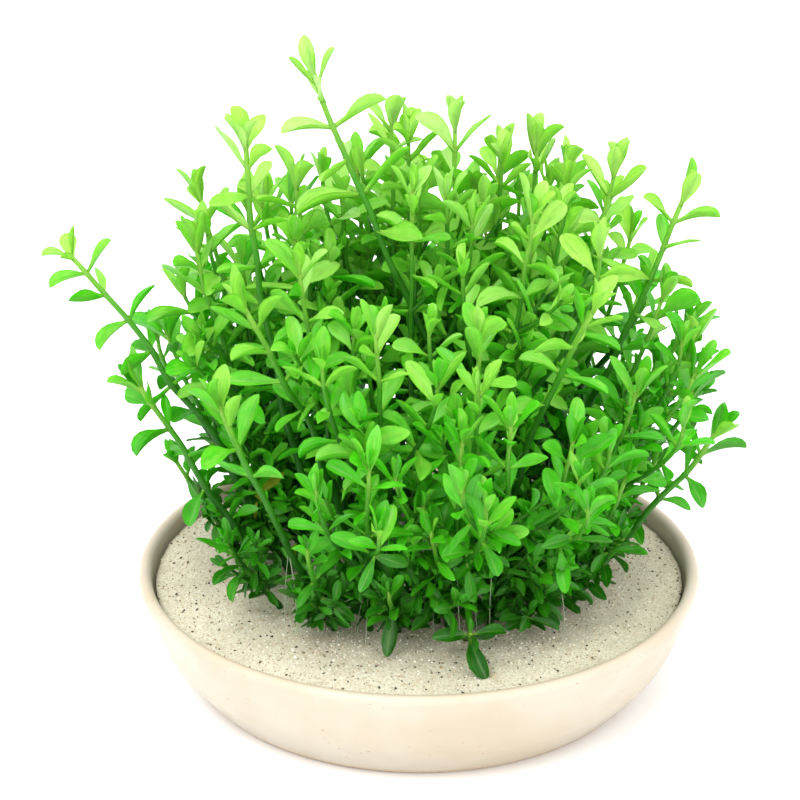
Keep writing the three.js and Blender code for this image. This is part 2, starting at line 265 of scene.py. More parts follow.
# Side stems: the pairs at whose places the stem swells, the leaf pairs, the radii of the foot, the tip
# and the leaves' collar as shares of the main stem's, how near the foot leaves begin, the range of the
# leaves' scale, and how much darker their leaves are painted, which for the low sprigs is painted shade
SideForm = namedtuple("SideForm", "nodes pairs foot tip collar low scales tone_shift")
TWIG = SideForm(TWIG_PAIRS, TWIG_PAIRS, 0.62, 0.42, 0.5, 2.5 * MM, (0.9, 1.15), 0.0)
BRANCH = SideForm(BRANCH_PAIRS[2:], BRANCH_PAIRS, 0.75, 0.52, 0.6, 6 * MM, (0.92, 1.08), 0.0)
# The low sprigs' leaves are painted darker, as shade at the foot of the clump
BASAL_SPRIG = SideForm(TWIG_PAIRS, BASAL_PAIRS, 0.5, 0.35, 0.4, 1.5 * MM, (0.85, 1.1), -0.08)

# Pan
POT_FOOT_RADIUS = 63 * MM
POT_WALL = 3.8 * MM
POT_FLOOR = 5 * MM
BELLY_INSET = 6.84 * MM
BELLY_SHARE = 0.4

# Stage: each light's name, place, width and power
LIGHTS = (
    ("key", (-0.6, -0.9, 1.3), 0.7, 12),
    ("fill", (0.7, -1.2, 0.75), 0.9, 5),
    ("top", (0.1, 0.2, 1.5), 0.9, 9),
)
SKY_STRENGTH = 1.55
FLOOR_HALF_WIDTH = 6.0
LIGHT_TARGET = (0, 0, 90 * MM)
PICTURE_MIDDLE = (-5.5 * MM, 0, 85.4 * MM)


def colour_property(name, description, default):
    return FloatVectorProperty(
        name=name, description=description, subtype="COLOR", size=3, min=0, max=1, default=default,
    )


def length_property(name, description, default):
    return FloatProperty(name=name, description=description, default=default, unit="LENGTH")


class PotSettings(bpy.types.PropertyGroup):
    """Finish of the pan"""

    glaze: colour_property("Glaze", "Colour of the glaze", (0.49, 0.44, 0.355))
    clay: colour_property("Clay", "Colour of the bare clay at the foot", (0.55, 0.43, 0.31))
    segments: IntProperty(name="Segments", description="Faces round the pan", default=144, min=24, max=256)


class SandSettings(bpy.types.PropertyGroup):
    """Look of the sand bed"""

    grain_size: length_property("Grain size", "Size of a common grain", 0.56 * MM)
    grain_density: FloatProperty(
        name="Grains per square metre", description="Loose grains lying on the bed", default=780000.0,
    )
    colour: colour_property("Sand", "Colour of the packed sand", (0.585, 0.54, 0.42))


class PlantSettings(bpy.types.PropertyGroup):
    """Sizes and colours of the shoots"""

    stem_radius: length_property("Stem radius", "Radius of a stem at its foot", 1.12 * MM)
    leaf_width: FloatProperty(
        name="Leaf width", description="Width of a leaf as a share of its length", default=0.28,
        min=0.1, max=1,
    )
    young: colour_property("Young leaf", "Colour at the growing tips", (0.55, 0.83, 0.13))
    grown: colour_property("Grown leaf", "Colour of most leaves", (0.092, 0.61, 0.007))
    shaded: colour_property("Shaded leaf", "Colour low down and inside the clump", (0.007, 0.125, 0.003))


class StageSettings(bpy.types.PropertyGroup):
    """Camera and light"""

    elevation: FloatProperty(
        name="Elevation", description="Height of the camera above the horizon",
        default=math.radians(24), subtype="ANGLE", unit="ROTATION",
    )
    field: length_property("Field", "Width of the picture at the plant", 229 * MM)
    lens: FloatProperty(name="Lens", description="Focal length in millimetres", default=135.0)


def finished(name, mesh, slot, *nodes):
    """A finished piece at the origin, riding on the pan's body and standing for its nodes."""
    piece = bpy.data.objects.new(name, mesh)
    bpy.context.scene.collection.objects.link(piece)
    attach(piece, "root")
    if nodes:
        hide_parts(*nodes)
    return piece


def turned_mesh(name, profile, segments):
    """A closed mesh from a half section of (radius, height) that starts and ends on the axis."""
    shape = bmesh.new()
    rings = []
    for radius, height in profile:
        if radius < 1e-7:
            rings.append([shape.verts.new((0, 0, height))] * segments)
            continue
        ring = []
        for i in range(segments):
            angle = 2 * math.pi * i / segments
            ring.append(shape.verts.new((radius * math.cos(angle), radius * math.sin(angle), height)))
        rings.append(ring)
    for lower, upper in zip(rings, rings[1:]):
        for i in range(segments):
            j = (i + 1) % segments
            corners = []
            for vert in (lower[i], lower[j], upper[j], upper[i]):
                if vert not in corners:
                    corners.append(vert)
            shape.faces.new(corners)
    bmesh.ops.recalc_face_normals(shape, faces=shape.faces)
    for face in shape.faces:
        face.smooth = True
    mesh = bpy.data.meshes.new(name)
    shape.to_mesh(mesh)
    shape.free()
    return mesh


def arc(centre, radius, start, end, steps):
    """Points of a half section on an arc, its angles in degrees."""
    points = []
    for i in range(steps + 1):
        angle = math.radians(start + (end - start) * i / steps)
        points.append((centre[0] + radius * math.cos(angle), centre[1] + radius * math.sin(angle)))
    return points


class Nodes:
    """Short calls to build a node tree."""

    def __init__(self, tree):
        self.tree = tree

    def add(self, kind, inputs=None, **settings):
        node = self.tree.nodes.new(kind)
        for key, value in settings.items():
            setattr(node, key, value)
        for key, value in (inputs or {}).items():
            if isinstance(value, bpy.types.NodeSocket):
                self.tree.links.new(value, node.inputs[key])
            else:
                node.inputs[key].default_value = value
        return node

    def link(self, source, target):
        self.tree.links.new(source, target)


def new_material(name):
    material = bpy.data.materials.new(name)
    material.use_nodes = True
    material.node_tree.nodes.clear()
    return material, Nodes(material.node_tree)


def maths(nodes, operation, *values):
    """The result of a maths node on numbers or sockets."""
    return nodes.add("ShaderNodeMath", dict(enumerate(values)), operation=operation).outputs[0]


def to_surface(nodes, shader):
    output = nodes.add("ShaderNodeOutputMaterial")
    nodes.link(shader.outputs[0], output.inputs["Surface"])


def ramp(nodes, fac, stops, interpolation="LINEAR"):
    """A colour ramp through (place, colour) stops."""
    node = nodes.add("ShaderNodeValToRGB", {"Fac": fac})
    node.color_ramp.interpolation = interpolation
    elements = node.color_ramp.elements
    while len(elements) < len(stops):
        elements.new(0.5)
    for element, (place, colour) in zip(elements, stops):
        element.position = place
        element.color = (*colour, 1)
    return node.outputs["Color"]


def mixed(nodes, fac, first, second):
    """First and second colour mixed by fac."""
    node = nodes.add("ShaderNodeMix", data_type="RGBA")
    for label, value in (("Factor", fac), ("A", first), ("B", second)):
        socket = node.inputs[label]
        if isinstance(value, bpy.types.NodeSocket):
            nodes.link(value, socket)
        elif isinstance(value, (int, float)):
            socket.default_value = value
        else:
            socket.default_value = (*value, 1)
    return node.outputs["Result"]


def ranged(nodes, value, low, high, to_low=0.0, to_high=1.0):
    """Value mapped smoothly from one range to another."""
    node = nodes.add(
        "ShaderNodeMapRange", {"Value": value, "From Min": low, "From Max": high,
                               "To Min": to_low, "To Max": to_high},
        interpolation_type="SMOOTHSTEP",
    )
    return node.outputs["Result"]


def attribute(nodes, name):
    return nodes.add("ShaderNodeAttribute", attribute_name=name).outputs["Fac"]


def noise_value(nodes, scale, detail=2.0, roughness=0.5):
    coords = nodes.add("ShaderNodeTexCoord").outputs["Object"]
    node = nodes.add(
        "ShaderNodeTexNoise", {"Vector": coords, "Scale": scale, "Detail": detail, "Roughness": roughness},
    )
    return node.outputs["Fac"]


def bumped(nodes, height, strength, distance):
    node = nodes.add("ShaderNodeBump", {"Height": height, "Strength": strength, "Distance": distance})
    return node.outputs["Normal"]


def glaze_material(settings):
    """Pale satin glaze with fine specks, and bare clay at the foot."""
    material, nodes = new_material("glazed_stoneware")
    coords = nodes.add("ShaderNodeTexCoord").outputs["Object"]
    height = nodes.add("ShaderNodeSeparateXYZ", {"Vector": coords}).outputs["Z"]
    cloud = noise_value(nodes, 38, 3)
    glaze = tuple(settings.glaze)
    warm = tuple(c * k for c, k in zip(glaze, (0.93, 0.88, 0.80)))
    colour = mixed(nodes, ranged(nodes, cloud, 0.35, 0.7), glaze, warm)
    speck = nodes.add("ShaderNodeTexVoronoi", {"Vector": coords, "Scale": 420.0}).outputs["Distance"]
    sparse = noise_value(nodes, 610, 1)
    fleck = maths(nodes, "MULTIPLY", ranged(nodes, speck, 0.2, 0.1), ranged(nodes, sparse, 0.56, 0.62))
    colour = mixed(nodes, fleck, colour, (0.33, 0.23, 0.14))
    bare = ranged(nodes, height, 2.6 * MM, 2.1 * MM)
    rim_wear = ranged(nodes, height, POT_HEIGHT - 1.2 * MM, POT_HEIGHT + 0.2 * MM, 0.0, 0.45)
    colour = mixed(nodes, rim_wear, colour, tuple(settings.clay))
    colour = mixed(nodes, bare, colour, tuple(settings.clay))
    roughness = maths(nodes, "MAXIMUM", ranged(nodes, cloud, 0.3, 0.7, 0.3, 0.42), bare)
    surface = noise_value(nodes, 900, 3)
    shader = nodes.add(
        "ShaderNodeBsdfPrincipled",
        {"Base Color": colour, "Roughness": roughness, "Normal": bumped(nodes, surface, 0.12, 0.2 * MM)},
    )
    to_surface(nodes, shader)
    return material


def sand_material(settings):
    """Packed cream sand, and loose grains whose colour follows their own attribute."""
    material, nodes = new_material("sand")
    base = tuple(settings.colour)
    pale = tuple(min(1, c * k) for c, k in zip(base, (1.14, 1.16, 1.18)))
    damp = tuple(c * k for c, k in zip(base, (0.78, 0.72, 0.62)))
    cloud = noise_value(nodes, 45, 4)
    fine = noise_value(nodes, 1500, 2)
    packed = mixed(nodes, ranged(nodes, cloud, 0.3, 0.72), pale, base)
    packed = mixed(nodes, ranged(nodes, fine, 0.4, 0.75), packed, damp)
    patches = noise_value(nodes, 170, 5, 0.7)
    packed = mixed(nodes, ranged(nodes, patches, 0.52, 0.7, 0.0, 0.7), packed, damp)
    grain = ramp(
        nodes, attribute(nodes, "grain"),
        [
            (0.0, (0.72, 0.67, 0.54)), (0.3, (0.64, 0.56, 0.42)), (0.5, (0.54, 0.43, 0.28)),
            (0.64, (0.78, 0.75, 0.66)), (0.76, (0.31, 0.23, 0.12)), (0.83, (0.17, 0.14, 0.08)),
            (0.9, (0.05, 0.04, 0.03)),
        ],
        "CONSTANT",
    )
    colour = mixed(nodes, attribute(nodes, "loose"), packed, grain)
    shader = nodes.add(
        "ShaderNodeBsdfPrincipled",
        {"Base Color": colour, "Roughness": 0.86, "Normal": bumped(nodes, fine, 0.6, 0.35 * MM)},
    )
    to_surface(nodes, shader)
    return material


def foliage_material(settings):
    """Leaves, stems and hair roots, told apart by the attributes of their own mesh."""
    material, nodes = new_material("foliage")
    tone = attribute(nodes, "tone")
    across = maths(nodes, "ABSOLUTE", attribute(nodes, "across"))
    along = attribute(nodes, "along")
    kind = attribute(nodes, "kind")
    underside = attribute(nodes, "underside")
    mottle = noise_value(nodes, 260, 3)
    mood = maths(nodes, "ADD", tone, maths(nodes, "MULTIPLY_ADD", mottle, 0.3, -0.15))
    young, grown, shaded = tuple(settings.young), tuple(settings.grown), tuple(settings.shaded)
    # The tone carries each leaf's age and its painted light and shade: the shaded colour low down is partly
    # painted shade, and the pale colour at the top is partly painted light, beside the young leaves' own
    # lighter green
    pale = tuple(c + 0.18 * (1 - c) for c in young)
    leaf = ramp(nodes, mood, [(0.05, shaded), (0.42, grown), (0.82, young), (1.0, pale)])
    # Painted light: leaves deep inside the dome are lifted towards a bright green, as if light came through
    # the leaves round them
    lit_through = maths(nodes, "MULTIPLY", attribute(nodes, "inner"), 0.75)
    leaf = mixed(nodes, lit_through, leaf, (0.10, 0.86, 0.012))
    midrib = ranged(nodes, across, 0.16, 0.02, 0.0, 0.2)
    leaf = mixed(nodes, midrib, leaf, tuple(0.5 * (a + b) for a, b in zip(young, pale)))
    margin = ranged(nodes, across, 0.78, 1.0, 0.0, 0.32)
    leaf = mixed(nodes, margin, leaf, (0.10, 0.30, 0.012))
    blade = nodes.add(
        "ShaderNodeCombineXYZ",
        {"X": maths(nodes, "MULTIPLY", attribute(nodes, "across"), 1.7),
         "Y": maths(nodes, "MULTIPLY", along, 1.1),
         "Z": maths(nodes, "MULTIPLY", tone, 57.0)},
    )
    streak = nodes.add(
        "ShaderNodeTexNoise", {"Vector": blade.outputs[0], "Scale": 2.3, "Detail": 5.0, "Roughness": 0.62},
    ).outputs["Fac"]
    leaf = mixed(nodes, ranged(nodes, streak, 0.48, 0.28, 0.0, 0.4), leaf, (0.045, 0.30, 0.006))
    # Pale streaks: partly the leaf's own mottling and partly painted highlight, stronger on the brighter
    # upper leaves
    streak_and_highlight = maths(
        nodes, "MULTIPLY",
        ranged(nodes, streak, 0.52, 0.72, 0.0, 0.45), ranged(nodes, mood, 0.15, 0.7, 0.25, 1.0),
    )
    leaf = mixed(nodes, streak_and_highlight, leaf, (0.64, 0.90, 0.20))
    neck = ranged(nodes, along, 0.25, 0.0, 0.0, 0.5)
    leaf = mixed(nodes, neck, leaf, young)
    leaf = mixed(nodes, ranged(nodes, underside, 0.0, 1.0, 0.0, 0.35), leaf, (0.20, 0.42, 0.12))
    yellow = ranged(nodes, tone, -0.35, -0.55)
    leaf = mixed(nodes, yellow, leaf, (0.30, 0.36, 0.02))
    # Stems follow the same tone: dark low down as painted shade, and light at the tips, partly painted light
    # and partly the young tips' own paler green
    stem = ramp(
        nodes, mood, [(0.1, (0.012, 0.12, 0.006)), (0.5, (0.08, 0.35, 0.018)), (0.95, (0.40, 0.66, 0.10))],
    )
    colour = mixed(nodes, ranged(nodes, kind, 0.2, 0.8), leaf, stem)
    colour = mixed(nodes, ranged(nodes, kind, 1.2, 1.8), colour, (0.62, 0.66, 0.50))
    cells = noise_value(nodes, 2600, 2)
    veins = maths(nodes, "MULTIPLY_ADD", ranged(nodes, across, 0.12, 0.0), -0.8, cells)
    normal = bumped(nodes, veins, 0.25, 0.12 * MM)
    shine = ranged(nodes, mottle, 0.3, 0.7, 0.30, 0.44)
    shader = nodes.add(
        "ShaderNodeBsdfPrincipled",
        {"Base Color": colour, "Roughness": shine, "Specular IOR Level": 0.5, "Normal": normal},
    )
    glow = mixed(nodes, 0.36, colour, (0.24, 0.80, 0.02))
    through = nodes.add("ShaderNodeBsdfTranslucent", {"Color": glow, "Normal": normal})
    blended = nodes.add("ShaderNodeMixShader", {"Fac": 0.52})
    nodes.link(shader.outputs[0], blended.inputs[1])
    nodes.link(through.outputs[0], blended.inputs[2])
    to_surface(nodes, blended)
    return material


def leaf_shape(name, stations, bend, twist, cup, ripple, spoon):
    """A closed leaf of unit length and width along +X, its upper side up.

    Its blade bends down along its length, twists and cups, and carries how far along and
    across each point lies.
    """
    verts, along, across, underside = [], [], [], []
    centre = Vector((0, 0, 0))
    last = 0.0
    faces = []
    for place, (t, oblong, rounded) in enumerate(stations):
        half = oblong + (rounded - oblong) * spoon
        angle = bend * (t ** 1.3 - 0.12)
        centre = centre + Vector((math.cos(angle), 0, -math.sin(angle))) * (t - last)
        last = t
        turn = Matrix.Rotation(angle, 3, "Y") @ Matrix.Rotation(twist * t, 3, "X")
        thick = 0.026 * (1.35 - 0.75 * t) + 0.004
        wave = ripple * math.sin(9 * t)
        width = 0.5 * half
        section = [
            (-1.0, wave + cup * width * 1.0, 0),
            (-0.66, wave * 0.5 + cup * width * 0.44 + thick * 0.9, 0),
            (0.0, thick * 0.55, 0),
            (0.66, -wave * 0.5 + cup * width * 0.44 + thick * 0.9, 0),
            (1.0, -wave + cup * width * 1.0, 0),
            (0.0, -thick, 1),
        ]
        if half == 0.0:
            verts.append(centre)
            along.append(1.0)
            across.append(0.0)
            underside.append(0.5)
            continue
        for side, lift, below in section:
            verts.append(centre + turn @ Vector((0, side * width, lift)))
            along.append(t)
            across.append(side)
            underside.append(below)
        if place:
            first = 6 * (place - 1)
            for k in range(6):
                faces.append((first + k, first + (k + 1) % 6, first + 6 + (k + 1) % 6, first + 6 + k))
    tip = len(verts) - 1
    for k in range(6):
        faces.append((tip - 6 + k, tip - 6 + (k + 1) % 6, tip))
    faces.append(tuple(reversed(range(6))))
    mesh = bpy.data.meshes.new(name)
    mesh.from_pydata([tuple(v) for v in verts], [], faces)
    shape = bmesh.new()
    shape.from_mesh(mesh)
    bmesh.ops.recalc_face_normals(shape, faces=shape.faces)
    for face in shape.faces:
        face.smooth = True
    # A blade's rim is thin, so its upper and lower side keep their own shading there
    for rim in (0, 4):
        on_rim = {i for i in range(tip) if i % 6 == rim} | {tip}
        for edge in shape.edges:
            if all(vert.index in on_rim for vert in edge.verts):
                edge.smooth = False
    shape.to_mesh(mesh)
    shape.free()
    for key, values in (("along", along), ("across", across), ("underside", underside)):
        mesh.attributes.new(key, "FLOAT", "POINT").data.foreach_set("value", values)
    return mesh


def leaf_collection():
    """Every leaf form as an object in a collection that isn't shown, in full and then in plain."""
    forms = bpy.data.collections.new("leaf_forms")
    for stations in (LEAF_STATIONS, LEAF_STATIONS[::2]):
        for values in LEAF_FORMS:
            name = f"leaf_form_{len(forms.objects):02d}"
            forms.objects.link(bpy.data.objects.new(name, leaf_shape(name, stations, *values)))
    return forms


def remove_collection(collection):
    for item in list(collection.objects):
        mesh = item.data
        bpy.data.objects.remove(item)
        bpy.data.meshes.remove(mesh)
    bpy.data.collections.remove(collection)


def set_input(modifier, tree, name, value):
    """Sets a named input of a Geometry Nodes modifier by its socket's identifier."""
    for item in tree.interface.items_tree:
        if item.item_type == "SOCKET" and item.in_out == "INPUT" and item.name == name:
            modifier[item.identifier] = value
            return
    raise RuntimeError(f"the tree has no input named {name}")


def new_tree(name, inputs):
    """An empty Geometry Nodes tree with a geometry going in and out, and named inputs."""
    tree = bpy.data.node_groups.new(name, "GeometryNodeTree")
    tree.interface.new_socket("Geometry", in_out="INPUT", socket_type="NodeSocketGeometry")
    for label, kind, default in inputs:
        socket = tree.interface.new_socket(label, in_out="INPUT", socket_type=kind)
        if default is not None:
            socket.default_value = default
    tree.interface.new_socket("Geometry", in_out="OUTPUT", socket_type="NodeSocketGeometry")
    return tree, Nodes(tree)


def named(nodes, name, kind):
    return nodes.add("GeometryNodeInputNamedAttribute", {"Name": name}, data_type=kind).outputs["Attribute"]


def forms_in(nodes, collection):
    return nodes.add(
        "GeometryNodeCollectionInfo",
        {"Collection": collection, "Separate Children": True, "Reset Children": True},
    ).outputs["Instances"]


def end_tree(nodes, scattered, solid, material):
    """Joins what is scattered to the solid, makes it all real and gives it its material."""
    joined = nodes.add("GeometryNodeJoinGeometry")
    nodes.link(scattered, joined.inputs["Geometry"])
    nodes.link(solid, joined.inputs["Geometry"])
    real = nodes.add("GeometryNodeRealizeInstances", {"Geometry": joined.outputs["Geometry"]})
    dressed = nodes.add(
        "GeometryNodeSetMaterial", {"Geometry": real.outputs["Geometry"], "Material": material},
    )
    output = nodes.add("NodeGroupOutput")
    nodes.link(dressed.outputs["Geometry"], output.inputs["Geometry"])


def shoot_tree():
    """Turns a skeleton into a leafy shoot: tubes along its edges and a leaf at each leaf point."""
    tree, nodes = new_tree(
        "leafy_shoot",
        [
            ("Leaf forms", "NodeSocketCollection", None),
            ("Stem sides", "NodeSocketInt", 8),
            ("Foliage", "NodeSocketMaterial", None),
        ],
    )
    source = nodes.add("NodeGroupInput")
    lines = nodes.add("GeometryNodeMeshToCurve", {"Mesh": source.outputs["Geometry"]})
    section = nodes.add(
        "GeometryNodeCurvePrimitiveCircle", {"Resolution": source.outputs["Stem sides"], "Radius": 1.0},
    )
    tubes = nodes.add(
        "GeometryNodeCurveToMesh",
        {"Curve": lines.outputs["Curve"], "Profile Curve": section.outputs["Curve"],
         "Scale": named(nodes, "thickness", "FLOAT"), "Fill Caps": True},
    )
    smooth = nodes.add("GeometryNodeSetShadeSmooth", {"Geometry": tubes.outputs["Mesh"]})
    forms = forms_in(nodes, source.outputs["Leaf forms"])
    stand = nodes.add(
        "FunctionNodeAxesToRotation",
        {"Primary Axis": named(nodes, "toward", "FLOAT_VECTOR"),
         "Secondary Axis": named(nodes, "upward", "FLOAT_VECTOR")},
        primary_axis="X", secondary_axis="Z",
    )
    leaves = nodes.add(
        "GeometryNodeInstanceOnPoints",
        {"Points": source.outputs["Geometry"], "Selection": named(nodes, "is_leaf", "BOOLEAN"),
         "Instance": forms, "Pick Instance": True,
         "Instance Index": named(nodes, "form", "INT"), "Rotation": stand.outputs["Rotation"],
         "Scale": named(nodes, "size", "FLOAT_VECTOR")},
    )
    end_tree(nodes, leaves.outputs["Instances"], smooth.outputs["Geometry"], source.outputs["Foliage"])
    return tree


def made_real(base, name, tree, inputs, keep):
    """The plain mesh that a tree makes of a base mesh, with only the attributes in keep."""
    holder = bpy.data.objects.new(f"{name}_holder", base)
    bpy.context.scene.collection.objects.link(holder)
    modifier = holder.modifiers.new(tree.name, "NODES")
    modifier.node_group = tree
    for label, value in inputs.items():
        set_input(modifier, tree, label, value)
    graph = bpy.context.evaluated_depsgraph_get()
    mesh = bpy.data.meshes.new_from_object(holder.evaluated_get(graph))
    mesh.name = name
    keep = (*keep, "sharp_face", "sharp_edge", "material_index")
    for item in [a.name for a in mesh.attributes if not a.is_internal and not a.is_required]:
        if item not in keep:
            mesh.attributes.remove(mesh.attributes[item])
    holder.modifiers.clear()
    bpy.data.objects.remove(holder)
    bpy.data.meshes.remove(base)
    return mesh


# What each point of a skeleton carries: its type and its value where none is given
POINT_VALUES = {
    "thickness": ("FLOAT", 0.0), "tone": ("FLOAT", 0.5), "inner": ("FLOAT", 0.0), "kind": ("FLOAT", 0.0),
    "is_leaf": ("BOOLEAN", False), "form": ("INT", 0), "toward": ("FLOAT_VECTOR", (1, 0, 0)),
    "upward": ("FLOAT_VECTOR", (0, 0, 1)), "size": ("FLOAT_VECTOR", (1, 1, 1)),
}
# What a point's kind says it belongs to
LEAF, STEM, ROOT = 0.0, 1.0, 2.0


class Skeleton:
    """Lines and leaf points of one shoot, before its tree gives them their shape."""

    def __init__(self):
        self.points = []
        self.edges = []
        self.values = {key: [] for key in POINT_VALUES}

    def point(self, place, **values):
        self.points.append(tuple(place))
        for key, (_, fallback) in POINT_VALUES.items():
            self.values[key].append(values.get(key, fallback))
        return len(self.points) - 1

    def line(self, places, radii, tones, kind):
        previous = None
        for place, radius, tone in zip(places, radii, tones):
            index = self.point(place, thickness=radius, tone=tone, kind=kind)
            if previous is not None:
                self.edges.append((previous, index))
            previous = index

    def mesh(self, name):
        mesh = bpy.data.meshes.new(name)
        mesh.from_pydata(self.points, self.edges, [])
        for key, (kind, _) in POINT_VALUES.items():
            layer = mesh.attributes.new(key, kind, "POINT")
            values = self.values[key]
            if kind == "FLOAT_VECTOR":
                layer.data.foreach_set("vector", [c for v in values for c in v])
            else:
                layer.data.foreach_set("value", values)
        return mesh


class Crowd:
    """Places that leaves and stems have taken, so that a new leaf can turn to the free side."""

    def __init__(self, room):
        self.taken = np.empty((room, 3))
        self.count = 0

    def add(self, places):
        for place in places:
            self.taken[self.count] = place
            self.count += 1

    def gap(self, places):
        if not self.count:
            return 1.0
        taken = self.taken[: self.count]
        return min(float(((taken - np.array(p)) ** 2).sum(1).min()) for p in places) ** 0.5


def wavering(place):
    """A soft push that changes slowly from place to place, and is the same each time."""
    spot = place * WAVER_SCALE
    return Vector([noise.noise(spot + Vector((shift, 0.5 * shift, 0))) for shift in (3.7, 41.3, 87.9)])


class Path:
    """A smooth line that knows its length."""

    STEPS = 80

    def __init__(self, controls, waver=0.0):
        self.controls = [Vector(c) for c in controls]
        self.places = []
        for i in range(self.STEPS + 1):
            t = i / self.STEPS
            place = self._bezier(t)
            self.places.append(place + wavering(place) * waver * math.sin(math.pi * t))
        self.reach = [0.0]
        for a, b in zip(self.places, self.places[1:]):
            self.reach.append(self.reach[-1] + (b - a).length)
        self.length = self.reach[-1]

    def _bezier(self, t):
        level = self.controls
        while len(level) > 1:
            level = [a.lerp(b, t) for a, b in zip(level, level[1:])]
        return level[0]

    def at(self, distance):
        """Place and direction at a distance from the foot."""
        distance = min(max(distance, 0.0), self.length)
        i = min(int(np.searchsorted(self.reach, distance, "right")) - 1, self.STEPS - 1)
        step = self.reach[i + 1] - self.reach[i]
        share = (distance - self.reach[i]) / step
        before, after = self.places[max(i - 1, 0)], self.places[min(i + 2, self.STEPS)]
        return self.places[i].lerp(self.places[i + 1], share), (after - before).normalized()


def stem_path(row):
    foot_x, foot_y, tip_x, tip_y, height = [value * MM for value in row[:5]]
    rise, turn = row[5:]
    lean_x, lean_y = tip_x - foot_x, tip_y - foot_y
    return Path([
        (foot_x, foot_y, STEM_BOTTOM),
        (foot_x + rise * lean_x, foot_y + rise * lean_y, STEM_BOTTOM + height / 3),
        (foot_x + turn * lean_x, foot_y + turn * lean_y, STEM_BOTTOM + 2 * height / 3),
        (tip_x, tip_y, STEM_BOTTOM + height),
    ], WAVER)


def depth_share(place):
    """How near a place is to the dome's surface: 0 at its middle and 1 on it."""
    x, y, z = place[0] / DOME.x, place[1] / DOME.y, (place[2] - SAND_LEVEL) / DOME.z
    return math.sqrt(x * x + y * y + z * z)


def kept_in(place):
    """The place, moved to where the clump's outline still holds it."""
    height = place.z - SAND_LEVEL
    start, growth = LEFT_REACH if place.x < 0 else RIGHT_REACH
    reach = start + growth * max(0.0, height)
    x = max(-reach, min(reach, place.x))
    lowest = FRONT_SLOPE * (-place.y - FRONT_REACH)
    return Vector((x, place.y, SAND_LEVEL + max(height, lowest)))


def pair_ways(along, lean, spin):
    """The two directions, square to a stem, in which its leaf pairs stand."""
    across = Vector((-lean.y, lean.x, 0))
    outward = across.cross(along).normalized()
    first = outward * math.cos(spin) + across * math.sin(spin)
    return first, along.cross(first)


